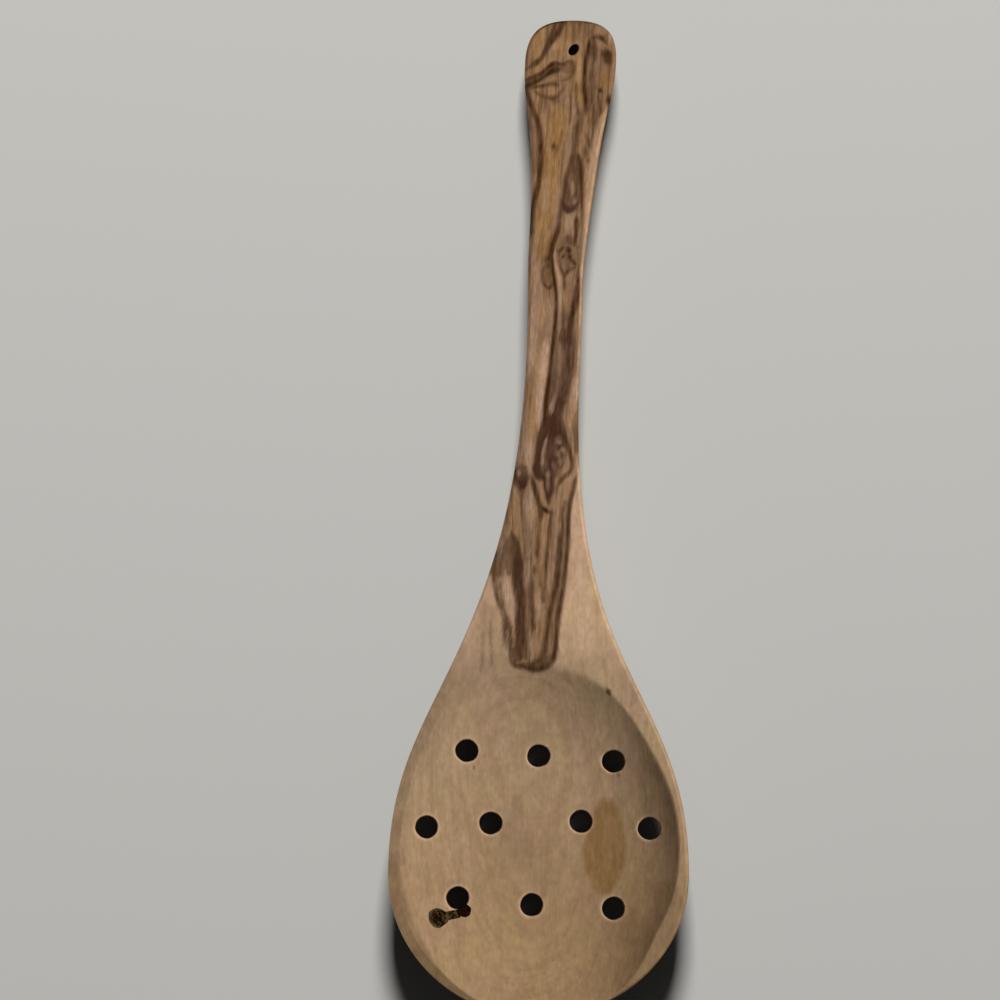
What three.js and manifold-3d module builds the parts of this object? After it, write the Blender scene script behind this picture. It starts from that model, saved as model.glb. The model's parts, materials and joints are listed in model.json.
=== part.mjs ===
// A hand-carved draining spoon of olive wood. Bowl, neck and handle are one blank with a flat
// front, a shallow hollow that runs out over the tip, ten drain holes and a hang hole.
// Dead knots and the bark round them are separate plugs in the bowl's wall.
// Millimetres. The spoon lies on its back: +Z is up out of the hollow, +Y points along the handle.

import Module from 'manifold-3d';
import * as THREE from 'three';
import { LoftGeometry } from 'three/addons/geometries/LoftGeometry.js';
import { mergeVertices } from 'three/addons/utils/BufferGeometryUtils.js';

// Outline of the blank: lengths follow each other from the bowl's tip to the handle's end
const BOWL_WIDTH = 90.5;
const TIP_LENGTH = 43;
const NECK_LENGTH = 155;
const WAIST_WIDTH = 16.2;
const HANDLE_LENGTH = 89;
const GRIP_WIDTH = 27.4;
const END_LENGTH = 13;

// Shape of each stretch: how long its two ends hold their direction, as a share of the stretch
const TIP_ROUNDNESS = 0.552;
const SHOULDER_ROUNDNESS = 0.364;
const NECK_SLIMNESS = 0.623;
const WAIST_SLIMNESS = 0.85;
const GRIP_ROUNDNESS = 0.18;
const END_ROUNDNESS = 0.8;

// The handle leans to one side of the bowl's axis, from a place above the bowl's widest line,
// and the knife left a slight bow the other way above the waist
const LEAN_DEGREES = 3.3;
const LEAN_FROM = 77.5;
const LEAN_BLEND = 12;
const BOW = 0.8;
const BOW_FROM_WAIST = 30;
const BOW_LENGTH = 17;

// Thickness, measured down from the flat front
const HOLLOW_DEPTH = 10;
const FLOOR_THICKNESS = 7;
const HANDLE_THICKNESS = 10.5;
const EDGE_ROUND = 2.5;

// The hollow: an oval dish inside the rim that reaches up the neck and runs out past the tip
const RIM_WIDTH = 2.85;
const HOLLOW_OFFSET = -0.45;
const HOLLOW_REACH = 63;
const HOLLOW_RUNOUT = 2;
const DISH_POWER = 2.5;

// Drain holes, drilled by eye in three rows: places are shares of the hollow's half width and
// half length, measured from its centre
const DRAIN_DIAMETER = 7;
const DRAIN_ROWS = {
	upper: [[-0.5, 0.525], [0.01, 0.495], [0.54, 0.465]],
	middle: [[-0.785, 0.1], [-0.33, 0.12], [0.31, 0.13], [0.795, 0.09]],
	lower: [[-0.565, -0.295], [-0.04, -0.335], [0.54, -0.355]],
};

// Hang hole, on the handle's centre line
const HANG_DIAMETER = 3.5;
const HANG_FROM_END = 8.3;

// Knots: the drilled one sits beside the first hole of the lower row, the round one beside it
const DRILLED_KNOT_DIAMETER = 4.4;
const DRILLED_KNOT_OFFSET = [2.1, -3.9];
const ROUND_KNOT_DIAMETER = 4;
const ROUND_KNOT_OFFSET = [-7.95, -2.15];
const BARK_THICKNESS = 0.7;
const BARK_SEAM_WIDTH = 1.8;
const KNOT_CLEARANCE = 0.3;

// Facets
const TIP_STEPS = 12;
const NECK_STEPS = 26;
const HANDLE_STEPS = 14;
const END_STEPS = 10;
const EDGE_STEPS = 4;
const BACK_STEPS = 18;
const DISH_STEPS = 12;
const DISH_SIDES = 56;
const HOLE_SIDES = 16;
const BLUNT_END = 0.04;
const FLATTEST_EDGE = 0.9;

// Sizes that follow from those above
const bowlHalf = BOWL_WIDTH / 2;
const waistHalf = WAIST_WIDTH / 2;
const gripHalf = GRIP_WIDTH / 2;
const waistAt = TIP_LENGTH + NECK_LENGTH;
const gripAt = waistAt + HANDLE_LENGTH;
const overallLength = gripAt + END_LENGTH;
const bellyThickness = HOLLOW_DEPTH + FLOOR_THICKNESS;
const hollowHalfWidth = bowlHalf - RIM_WIDTH;
const hollowHalfLength = (TIP_LENGTH + HOLLOW_REACH + HOLLOW_RUNOUT) / 2;
const hollowAt = TIP_LENGTH + HOLLOW_REACH - hollowHalfLength;
const drillLength = 3 * bellyThickness;

const wasm = await Module();
wasm.setup();

// A closed geometry as a solid for cutting: shared corners merged, collapsed triangles left out
function solidOf(geometry) {
	const bare = new THREE.BufferGeometry();
	bare.setAttribute('position', geometry.attributes.position);
	bare.setIndex(geometry.index);
	const merged = mergeVertices(bare, 1e-4);
	const triangles = [];
	for (let i = 0; i < merged.index.count; i += 3) {
		const [a, b, c] = [0, 1, 2].map((k) => merged.index.getX(i + k));
		if (a !== b && b !== c && c !== a) triangles.push(a, b, c);
	}
	return new wasm.Manifold(new wasm.Mesh({
		numProp: 3,
		vertProperties: merged.attributes.position.array,
		triVerts: new Uint32Array(triangles),
	}));
}

// A cut solid back as a named mesh
function meshOf(name, solid, material) {
	const cut = solid.getMesh();
	const geometry = new THREE.BufferGeometry();
	geometry.setAttribute('position', new THREE.BufferAttribute(cut.vertProperties, 3));
	geometry.setIndex(new THREE.BufferAttribute(cut.triVerts, 1));
	geometry.computeVertexNormals();
	const mesh = new THREE.Mesh(geometry, material);
	mesh.name = name;
	return mesh;
}

// Sideways place of the blank's centre line: straight up the bowl, then leaning with the handle
function centreLineAt(along) {
	const past = along - TIP_LENGTH - LEAN_FROM;
	const slope = Math.tan(THREE.MathUtils.degToRad(LEAN_DEGREES));
	const lean = slope * (past + Math.hypot(past, LEAN_BLEND)) / 2;
	const fromBow = (along - waistAt - BOW_FROM_WAIST) / BOW_LENGTH;
	return lean - BOW * Math.exp(-fromBow * fromBow);
}

// One stretch of the outline: a curve of half width against length that leaves its first end and
// meets its last end along or across the spoon
function stretch(first, firstHandle, lastHandle, last) {
	const points = [first, firstHandle, lastHandle, last];
	return new THREE.CubicBezierCurve(...points.map((point) => new THREE.Vector2(...point)));
}

const tip = stretch(
	[0, 0],
	[0, TIP_ROUNDNESS * bowlHalf],
	[TIP_LENGTH * (1 - TIP_ROUNDNESS), bowlHalf],
	[TIP_LENGTH, bowlHalf],
);
const neck = stretch(
	[TIP_LENGTH, bowlHalf],
	[TIP_LENGTH + SHOULDER_ROUNDNESS * NECK_LENGTH, bowlHalf],
	[waistAt - NECK_SLIMNESS * NECK_LENGTH, waistHalf],
	[waistAt, waistHalf],
);
const handle = stretch(
	[waistAt, waistHalf],
	[waistAt + WAIST_SLIMNESS * HANDLE_LENGTH, waistHalf],
	[gripAt - GRIP_ROUNDNESS * HANDLE_LENGTH, gripHalf],
	[gripAt, gripHalf],
);
const end = stretch(
	[gripAt, gripHalf],
	[gripAt + END_ROUNDNESS * END_LENGTH, gripHalf],
	[overallLength, END_ROUNDNESS * gripHalf],
	[overallLength, 0],
);

// Stations along one stretch: place, half width, and how wide the rounded edge is across the spoon
function stationsOn(curve, steps, from = 0, to = 1) {
	return Array.from({ length: steps }, (_, i) => {
		const t = THREE.MathUtils.lerp(from, to, i / (steps - 1));
		const { x: along, y: half } = curve.getPoint(t);
		const facing = Math.abs(curve.getTangent(t).x);
		const edge = Math.min(FLATTEST_EDGE * half, EDGE_ROUND / facing);
		return { along, half, edge };
	});
}

const stations = [
	...stationsOn(tip, TIP_STEPS, BLUNT_END, 1),
	...stationsOn(neck, NECK_STEPS).slice(1),
	...stationsOn(handle, HANDLE_STEPS).slice(1),
	...stationsOn(end, END_STEPS, 0, 1 - BLUNT_END).slice(1),
];

// Thickness at a station: full at the bowl's widest line, easing to the handle's by the waist,
// and drawn in with the outline over the tip and the handle's end
function thicknessAt({ along, half }) {
	const toWaist = THREE.MathUtils.smoothstep(along, TIP_LENGTH, waistAt);
	const full = THREE.MathUtils.lerp(bellyThickness, HANDLE_THICKNESS, toWaist);
	let share = 1;
	if (along < TIP_LENGTH) share = half / bowlHalf;
	if (along > gripAt) share = half / gripHalf;
	return EDGE_ROUND + (full - EDGE_ROUND) * share;
}

// How far the front has rounded down at a station close to either end
function frontDropAt(along) {
	const inset = Math.min(along, overallLength - along, EDGE_ROUND);
	const out = EDGE_ROUND - inset;
	return EDGE_ROUND - Math.sqrt(EDGE_ROUND ** 2 - out ** 2);
}

// Cross-section: flat front between two rounded edges, half-oval back
function sectionAt(station) {
	const { along, half, edge } = station;
	const centre = centreLineAt(along);
	const rise = EDGE_ROUND - frontDropAt(along);
	const sag = thicknessAt(station) - EDGE_ROUND;
	const at = (across, up) => new THREE.Vector3(centre + across, along, up - EDGE_ROUND);
	const corner = (side) => Array.from({ length: EDGE_STEPS + 1 }, (_, i) => {
		const angle = Math.PI / 2 * i / EDGE_STEPS;
		return at(side * (half - edge * (1 - Math.cos(angle))), rise * Math.sin(angle));
	});
	const back = Array.from({ length: BACK_STEPS - 1 }, (_, i) => {
		const angle = Math.PI * (i + 1) / BACK_STEPS;
		return at(half * Math.cos(angle), -sag * Math.sin(angle));
	});
	return [...corner(-1), ...corner(1).reverse(), ...back];
}

// The dish that is carved out of the front: an oval bowl, flattest in the middle
function hollowCutter() {
	const lip = 1.15;
	const wall = Array.from({ length: DISH_STEPS + 1 }, (_, i) => {
		const reach = lip * i / DISH_STEPS;
		return new THREE.Vector2(reach, HOLLOW_DEPTH * (reach ** DISH_POWER - 1));
	});
	const rim = wall.at(-1);
	const dish = new THREE.LatheGeometry([...wall, new THREE.Vector2(0, rim.y)], DISH_SIDES);
	dish.rotateX(Math.PI / 2);
	dish.scale(hollowHalfWidth, hollowHalfLength, 1);
	dish.translate(HOLLOW_OFFSET, hollowAt, 0);
	return solidOf(dish);
}

// A round rod through the whole thickness, square to the front
function rod(diameter, [across, along]) {
	const shape = new THREE.CylinderGeometry(diameter / 2, diameter / 2, drillLength, HOLE_SIDES);
	shape.rotateX(Math.PI / 2);
	shape.translate(across, along, 0);
	return solidOf(shape);
}

// The seam of bark that runs across the bowl from the round knot to the drilled one
function seam(width, from, to) {
	const shape = new THREE.BoxGeometry(to[0] - from[0], width, drillLength);
	shape.translate((from[0] + to[0]) / 2, from[1], 0);
	return solidOf(shape);
}

const holePlace = ([across, along]) => [
	HOLLOW_OFFSET + across * hollowHalfWidth,
	hollowAt + along * hollowHalfLength,
];
const beside = ([across, along], [right, up]) => [across + right, along + up];
const drilledKnotAt = beside(holePlace(DRAIN_ROWS.lower[0]), DRILLED_KNOT_OFFSET);
const roundKnotAt = beside(drilledKnotAt, ROUND_KNOT_OFFSET);
const hangAlong = overallLength - HANG_FROM_END;

// The blank, hollowed and drilled, before the knots are parted from it
let blank = solidOf(new LoftGeometry(stations.map(sectionAt), { capStart: true, capEnd: true }));
blank = blank.subtract(hollowCutter());
for (const place of Object.values(DRAIN_ROWS).flat()) {
	blank = blank.subtract(rod(DRAIN_DIAMETER, holePlace(place)));
}
blank = blank.subtract(rod(HANG_DIAMETER, [centreLineAt(hangAlong), hangAlong]));

// Each knot is the wood of the blank inside its own round, so its ends are flush on both faces
const roomFor = (diameter) => diameter + 2 * KNOT_CLEARANCE;
const barkInside = roomFor(ROUND_KNOT_DIAMETER);
const barkOutside = barkInside + 2 * BARK_THICKNESS;
const roundKnot = blank.intersect(rod(ROUND_KNOT_DIAMETER, roundKnotAt));
const drilledKnot = blank.intersect(rod(DRILLED_KNOT_DIAMETER, drilledKnotAt));
const drilledKnotRoom = rod(roomFor(DRILLED_KNOT_DIAMETER), drilledKnotAt);
const bark = rod(barkOutside, roundKnotAt)
	.add(seam(BARK_SEAM_WIDTH, roundKnotAt, drilledKnotAt))
	.subtract(rod(barkInside, roundKnotAt))
	.subtract(drilledKnotRoom)
	.intersect(blank);
const pocket = rod(roomFor(barkOutside), roundKnotAt)
	.add(seam(roomFor(BARK_SEAM_WIDTH), roundKnotAt, drilledKnotAt))
	.add(drilledKnotRoom);
const body = blank.subtract(pocket);

const wood = (color, roughness) => new THREE.MeshStandardMaterial({ color, roughness, metalness: 0 });

const spoon = new THREE.Group();
spoon.add(meshOf('spoon_body', body, wood(0xa98a68, 0.6)));
spoon.add(meshOf('round_knot', roundKnot, wood(0x4a3320, 0.7)));
spoon.add(meshOf('knot_bark', bark, wood(0x5c4c3a, 0.85)));
spoon.add(meshOf('drilled_knot', drilledKnot, wood(0x3a2014, 0.7)));

// At rest the belly and the grip touch the table: the handle comes down until it first does
const underside = stations.map((station) => ({ along: station.along, depth: thicknessAt(station) }));
const underBowl = underside.filter(({ along }) => along < waistAt);
const underGrip = underside.filter(({ along }) => along > waistAt);
const tiltToTouch = (grip) => Math.max(...underBowl.map(
	(belly) => Math.atan2(belly.depth - grip.depth, grip.along - belly.along),
));
spoon.rotation.x = -Math.min(...underGrip.map(tiltToTouch));

// Origin: on the table, under the middle of the spoon's box
const box = new THREE.Box3().setFromObject(spoon, true);
const middle = box.getCenter(new THREE.Vector3());
spoon.position.set(-middle.x, -middle.y, -box.min.z);

const part = new THREE.Group();
part.add(spoon);

export default part;
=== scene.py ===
# %% [markdown]
# # A carved draining spoon of olive wood
#
# The spoon is one blank of olive wood: a flat front, a shallow hollow that runs out over the tip, ten drain
# holes drilled by eye, and a slim handle with a hang hole. Two dead knots and the bark round one of them sit
# in the bowl as plugs of their own.
#
# The imported solids are the fixed frame. They are few-sided, so each one is replaced here by a finer surface
# of the same size in the same place. Their box places the new surfaces, and the new box is printed at the end.

# %% Load the imported spoon as a fixed frame
import json

import bpy
import numpy as np
from mathutils import Matrix, Vector


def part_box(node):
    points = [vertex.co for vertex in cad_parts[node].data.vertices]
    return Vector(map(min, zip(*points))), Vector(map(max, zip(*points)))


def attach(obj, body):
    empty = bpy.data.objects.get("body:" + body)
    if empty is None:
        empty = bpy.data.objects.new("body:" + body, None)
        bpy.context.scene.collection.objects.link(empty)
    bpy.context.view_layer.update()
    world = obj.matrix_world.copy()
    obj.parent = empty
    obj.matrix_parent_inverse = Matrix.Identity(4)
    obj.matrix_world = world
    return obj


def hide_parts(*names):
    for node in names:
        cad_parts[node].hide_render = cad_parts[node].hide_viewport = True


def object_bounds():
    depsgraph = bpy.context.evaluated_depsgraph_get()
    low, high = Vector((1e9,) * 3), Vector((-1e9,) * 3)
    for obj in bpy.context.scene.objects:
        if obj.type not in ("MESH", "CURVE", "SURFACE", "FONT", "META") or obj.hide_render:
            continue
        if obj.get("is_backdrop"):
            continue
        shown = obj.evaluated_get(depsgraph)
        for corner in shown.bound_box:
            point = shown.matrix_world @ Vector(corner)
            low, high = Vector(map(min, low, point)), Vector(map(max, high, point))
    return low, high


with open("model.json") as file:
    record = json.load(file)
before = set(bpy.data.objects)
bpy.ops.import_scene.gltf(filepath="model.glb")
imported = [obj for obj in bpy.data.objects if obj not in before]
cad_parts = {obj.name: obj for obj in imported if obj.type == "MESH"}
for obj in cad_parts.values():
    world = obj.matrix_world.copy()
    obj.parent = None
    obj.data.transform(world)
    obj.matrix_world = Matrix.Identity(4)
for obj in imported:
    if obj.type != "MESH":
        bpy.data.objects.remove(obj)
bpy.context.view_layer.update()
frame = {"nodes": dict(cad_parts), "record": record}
print("frame nodes:", ", ".join(sorted(frame["nodes"])))

# %% [markdown]
# ## The outline
#
# A carver draws the spoon on a board first, so the outline comes first here too. Seen from the front it is
# four curves laid end to end, each a cubic Bézier of half width against length: the tip, the neck, the
# handle and the rounded end. A Bézier was chosen over measured points because a few numbers give a line as
# fair as a knife cut. Everything below is in millimetres, with y from the tip of the bowl, x across, and
# z up from the flat front, until the finished meshes are put in the frame.

# %% Outline: half width and centre line
BOWL_HALF, WAIST_HALF, GRIP_HALF = 45.25, 8.1, 13.7
BOWL_AT, WAIST_AT, GRIP_AT, END_AT = 43.0, 198.0, 287.0, 300.0
# Each curve holds its first direction as far as one value, and takes up its last direction from the next.
TIP_HOLD, BOWL_TAKE, BOWL_HOLD, WAIST_TAKE = 25.0, 19.25, 99.4, 101.4
WAIST_HOLD, GRIP_TAKE, GRIP_HOLD, END_TAKE = 273.65, 271.0, 297.0, 9.4
LEAN, LEAN_FROM, LEAN_SOFT = np.tan(np.radians(3.3)), 120.5, 12.0
BOW, BOW_AT, BOW_WIDE = 0.8, 228.0, 17.0
CURVE_POINTS = 400


def bezier(*points):
    """Cubic Bézier: the four points, each weighted by its Bernstein polynomial of t from 0 to 1."""
    t = np.linspace(0, 1, CURVE_POINTS)[:, None]
    a, b, c, d = np.array(points, float)
    return (1 - t) ** 3 * a + 3 * t * (1 - t) ** 2 * b + 3 * t ** 2 * (1 - t) * c + t ** 3 * d


tip, bowl, waist = (0, 0), (BOWL_AT, BOWL_HALF), (WAIST_AT, WAIST_HALF)
grip, end = (GRIP_AT, GRIP_HALF), (END_AT, 0)
outline = np.vstack([
    bezier(tip, (0, TIP_HOLD), (BOWL_TAKE, BOWL_HALF), bowl),
    bezier(bowl, (BOWL_HOLD, BOWL_HALF), (WAIST_TAKE, WAIST_HALF), waist)[1:],
    bezier(waist, (WAIST_HOLD, WAIST_HALF), (GRIP_TAKE, GRIP_HALF), grip)[1:],
    bezier(grip, (GRIP_HOLD, GRIP_HALF), (END_AT, END_TAKE), end)[1:],
])
steps = np.hypot(*np.diff(outline, axis=0).T)
run = np.concatenate([[0], np.cumsum(steps)])
facing = np.abs(np.gradient(outline[:, 0], run))


def half_width(y):
    """Half the spoon's width at length y, read off the outline."""
    return np.interp(y, outline[:, 0], outline[:, 1])


def bell(value, middle, wide):
    """Bell curve: e to the power of minus the squared distance from the middle, counted in widths."""
    return np.exp(-((value - middle) / wide) ** 2)


def centre_line(y):
    """Straight up the bowl, then leaning 3.3 degrees (a smooth ramp), less a slight bow above the waist."""
    past = y - LEAN_FROM
    return LEAN * (past + np.hypot(past, LEAN_SOFT)) / 2 - BOW * bell(y, BOW_AT, BOW_WIDE)


print(f"outline {END_AT:.0f} mm long, {2 * outline[:, 1].max():.1f} mm wide, {run[-1]:.0f} mm round one side")

# %% [markdown]
# ## Front and back as heights
#
# Seen from the front, each point of the spoon has one height on its face and one on its back, so both are
# functions of x and y. The face is flat, with an edge that rounds 2.5 mm down over the last millimetre and a
# bevel along the left of the bowl. The hollow is an oval dish, flattest in the middle: its rim runs a little
# straight over two stretches, and its wall is steep on the right and gentle on the left. Where dish and face
# meet, a soft minimum takes the lower one: the gouge left a crisp rim on the right, and sanding has softened
# the rest. A Boolean cut would leave the same sharp edge all round.

# %% Easing and random hills
LATTICE = 64


def ease(value, low, high):
    """Smoothstep: 0 below low, 1 above high, and an S-curve between."""
    t = np.clip((value - low) / (high - low), 0, 1)
    return t * t * (3 - 2 * t)


def hills(u, v, seed):
    """Smooth random hills, about one to a unit: random heights on a square lattice, eased between corners."""
    table = np.random.default_rng(seed).random((LATTICE, LATTICE))
    i, j = np.floor(u).astype(int), np.floor(v).astype(int)
    a, b = ease(u - i, 0, 1), ease(v - j, 0, 1)
    i, j, right, up = i % LATTICE, j % LATTICE, (i + 1) % LATTICE, (j + 1) % LATTICE
    low = table[i, j] * (1 - a) + table[right, j] * a
    high = table[i, up] * (1 - a) + table[right, up] * a
    return low * (1 - b) + high * b


def sway(x, y, high, wide, long, start, seed):
    """Hills about zero: a height times the hills less a half, at a size in millimetres across and along."""
    return high * (hills(x / wide + start, y / long, seed) - 0.5)


print("ease at a quarter, a half and three quarters:", ease(np.array([0.25, 0.5, 0.75]), 0, 1).round(2))

# %% The hollow's oval
HOLLOW_X, HOLLOW_Y, HOLLOW_DEPTH = -0.45, 52.0, 10.0
HOLLOW_LEFT, HOLLOW_RIGHT, HOLLOW_HALF_LENGTH = 40.6, 43.1, 54.0
# Where the rim runs straight: its direction in degrees from the right, how wide, and how far it is drawn in.
STRAIGHT_STRETCHES = [(-31, 12, 0.03), (36, 20, 0.042)]


def oval(x, y):
    """How far a point is from the hollow's centre: 1 on its rim, an oval drawn in where it runs straight."""
    half = np.where(x < HOLLOW_X, HOLLOW_LEFT, HOLLOW_RIGHT)
    across, along = (x - HOLLOW_X) / half, (y - HOLLOW_Y) / HOLLOW_HALF_LENGTH
    angle = np.degrees(np.arctan2(along, across))
    drawn_in = sum(share * bell(angle, at, wide) for at, wide, share in STRAIGHT_STRETCHES)
    return np.hypot(across, along) * (1 + drawn_in)


print(f"hollow {HOLLOW_LEFT + HOLLOW_RIGHT:.1f} mm wide and {2 * HOLLOW_HALF_LENGTH:.0f} mm long")

# %% The face
EDGE, EDGE_WIDE = 2.5, 1.0
BEVEL_WIDE, BEVEL_DROP, BEVEL_FADES, BEVEL_STARTS = 3.1, 1.4, (80, 150), (0, 12)
# The hollow's wall rises as a power of the way out. Directions are degrees about its centre, from the right.
STEEP_WALL, GENTLE_WALL, STEEP_SIDE, WALL_TURNS = 3.6, 2.1, 10, (50, 150)
SLOW_WALL_LESS, SLOW_WALL_AT, SLOW_WALL_WIDE = 1.0, 60, 24
CRISP_RIM, SOFT_RIM, RIM_TURNS, RIM_SOFTENS = 0.3, 1.8, (50, 100), (20, 80)
# Waves that the knife left: their height, size across, size along, start and seed. They calm at the edges.
WAVES = [(0.10, 7, 11, 9, 3), (0.05, 3, 4, 5, 4)]
CALM_SIDE, CALM_END = 4, 6


def front(x, y, half, along):
    """Height of the face: a flat with a quarter-ellipse edge, and the dish, whichever is lower, eased."""
    inside = half - np.abs(x - centre_line(y))
    edge = np.minimum(0.9 * half, EDGE_WIDE / np.maximum(along, 1e-6)) + 1e-9
    inset = np.clip(np.minimum(y, END_AT - y), 0, EDGE)
    rise = np.sqrt(EDGE ** 2 - (EDGE - inset) ** 2)
    flat = -EDGE + rise * np.sqrt(1 - (1 - np.clip(inside / edge, 0, 1)) ** 2)
    bevel = BEVEL_DROP * (1 - ease(y, *BEVEL_FADES)) * ease(centre_line(y) - x, *BEVEL_STARTS)
    flat = np.minimum(flat, -bevel * np.clip(1 - inside * along / BEVEL_WIDE, 0, 1))
    angle = np.degrees(np.arctan2(y - HOLLOW_Y, x - HOLLOW_X))
    turn = np.abs(angle - STEEP_SIDE)
    turn = np.minimum(turn, 360 - turn)
    wall = STEEP_WALL + (GENTLE_WALL - STEEP_WALL) * ease(turn, *WALL_TURNS)
    wall = wall - SLOW_WALL_LESS * bell(angle, SLOW_WALL_AT, SLOW_WALL_WIDE)
    dish = HOLLOW_DEPTH * (oval(x, y) ** wall - 1)
    soft = CRISP_RIM + (SOFT_RIM - CRISP_RIM) * ease(turn, *RIM_TURNS) * ease(y, *RIM_SOFTENS)
    share = np.clip(0.5 + 0.5 * (flat - dish) / soft, 0, 1)
    carved = flat + (dish - flat) * share - soft * share * (1 - share)
    waves = sum(sway(x, y, *wave) for wave in WAVES)
    return carved + waves * ease(inside, 0, CALM_SIDE) * ease(y, 0, CALM_END) * ease(END_AT - y, 0, CALM_END)


def front_at(x, y):
    """Height of the face over any point inside the outline."""
    return front(x, y, half_width(y), np.interp(y, outline[:, 0], facing))


middle = np.array([HOLLOW_X]), np.array([HOLLOW_Y])
hollow_z = front_at(*middle)[0]
print(f"hollow {-hollow_z:.1f} mm deep")

# %% The back
BELLY_THICK, HANDLE_THICK = 17.0, 10.5


def back(x, y, half):
    """Height of the back: half an ellipse across, as deep as the belly or the handle, less over both ends."""
    full = BELLY_THICK + (HANDLE_THICK - BELLY_THICK) * ease(y, BOWL_AT, WAIST_AT)
    share = np.where(y < BOWL_AT, half / BOWL_HALF, np.where(y > GRIP_AT, half / GRIP_HALF, 1))
    across = np.clip((x - centre_line(y)) / np.maximum(half, 1e-9), -1, 1)
    return -EDGE - (full - EDGE) * share * np.sqrt(1 - across ** 2)


def back_at(x, y):
    """Height of the back under any point inside the outline."""
    return back(x, y, half_width(y))


print(f"the bowl's floor is {hollow_z - back_at(*middle)[0]:.1f} mm thick")

# %% [markdown]
# ## The blank as three grids
#
# One grid along the spoon would cross the hollow's rim at a slant and leave it jagged. So the bowl gets a
# round grid whose rings follow the rim, on the face and on the back, and the handle gets a long grid of
# cross-sections that starts on the bowl's last ring. Points that two grids share are joined into one.

# %% Grids into a mesh
# Points in the same micrometre cell are one point. The offset keeps round numbers off the cells' borders.
CELL, CELL_OFFSET = 1e-3, 0.317


def grid_faces(rows, columns, loop_rows=False):
    """Quads of a grid whose columns close into a ring: two neighbours in a row, and the two below them."""
    i, j = np.meshgrid(np.arange(rows if loop_rows else rows - 1), np.arange(columns), indexing="ij")
    i, j = i.ravel(), j.ravel()
    below, right = (i + 1) % rows, (j + 1) % columns
    return np.stack([i * columns + j, i * columns + right, below * columns + right, below * columns + j], 1)


def in_scene(name, data):
    """A new object that shows the data, linked to the scene."""
    made = bpy.data.objects.new(name, data)
    bpy.context.scene.collection.objects.link(made)
    return made


def mesh_from(name, *grids):
    """Puts grids (points, quads) in one mesh: joins equal points, and drops corners that a pole collapses."""
    starts = np.cumsum([0] + [len(points) for points, _ in grids])
    points = np.vstack([points for points, _ in grids])
    quads = np.vstack([quads + start for (_, quads), start in zip(grids, starts)])
    cells = np.round(points / CELL + CELL_OFFSET)
    _, first, joined = np.unique(cells, axis=0, return_index=True, return_inverse=True)
    corners = joined.ravel()[quads]
    kept = corners != np.roll(corners, -1, axis=1)
    whole = kept.sum(1) > 2
    sizes = kept[whole].sum(1)
    mesh = bpy.data.meshes.new(name)
    mesh.vertices.add(len(first))
    mesh.vertices.foreach_set("co", points[first].ravel())
    mesh.loops.add(int(sizes.sum()))
    mesh.loops.foreach_set("vertex_index", corners[whole][kept[whole]])
    mesh.polygons.add(len(sizes))
    mesh.polygons.foreach_set("loop_start", np.cumsum(sizes) - sizes)
    mesh.update(calc_edges=True)
    mesh.validate()
    return in_scene(name, mesh)


def stacked(x, y, z):
    """Three grids of coordinates as one list of points."""
    return np.stack(np.broadcast_arrays(x, y, z), -1).reshape(-1, 3)


print("a tube of 3 rings with 4 points each has", len(grid_faces(3, 4)), "quads")

# %% Rings of the bowl
SEAM_AT, COLUMNS, BACK_STEP, SIDE = 110.0, 73, 3, 150
# Points crowd together towards both sides of the handle, where its face rounds over.
CROWDING = 0.35
even = np.linspace(-1, 1, COLUMNS)
across = CROWDING * np.sin(even * np.pi / 2) + (1 - CROWDING) * even
seam_run = np.interp(SEAM_AT, outline[:, 0], run)
side_run = np.linspace(seam_run, 0, SIDE + 1)[1:]
side_y = np.interp(side_run, run, outline[:, 0])
side_half = np.interp(side_run, run, outline[:, 1])


def bowl_grid(across, shares, height):
    """Rings from the hollow's centre to the bowl's outline, by shares of the way in each direction."""
    seam = centre_line(SEAM_AT) + half_width(SEAM_AT) * across
    x = np.concatenate([seam, centre_line(side_y) + side_half, (centre_line(side_y) - side_half)[-2::-1]])
    y = np.concatenate([np.full(len(across), SEAM_AT), side_y, side_y[-2::-1]])
    shares = shares(x, y)
    ring_x, ring_y = HOLLOW_X + (x - HOLLOW_X) * shares, HOLLOW_Y + (y - HOLLOW_Y) * shares
    z = height(ring_x, ring_y)
    on_outline = np.ones(len(x), bool)
    on_outline[1:len(across) - 1] = False
    z[-1] = np.where(on_outline, -EDGE, height(x, y))
    return stacked(ring_x, ring_y, z), grid_faces(*z.shape)


def face_shares(x, y):
    """Rings close together on both sides of the hollow's rim, where the face turns sharply."""
    rim = np.minimum(1 / oval(x, y), 0.97)
    inner = np.concatenate([np.linspace(0, 0.93, 58), 1 - 0.06 * 0.72 ** np.arange(10), [1]])[:, None]
    outer = np.concatenate([[0.02, 0.05, 0.09], np.linspace(0.14, 0.9, 17), [0.94, 0.97, 0.99, 1]])[:, None]
    return np.vstack([inner * rim, rim + (1 - rim) * outer])


def back_shares(x, y):
    """Rings from the middle of the belly out, by a cosine: closer together where the back gets steep."""
    return np.cos(np.linspace(np.pi / 2, 0, 36))[:, None] * np.ones(len(x))


bowl_face = bowl_grid(across, face_shares, front_at)
points, quads = bowl_grid(across[::BACK_STEP], back_shares, back_at)
bowl_back = points, quads[:, ::-1]
print(f"bowl: {len(bowl_face[0])} points on the face and {len(points)} on the back")

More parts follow.
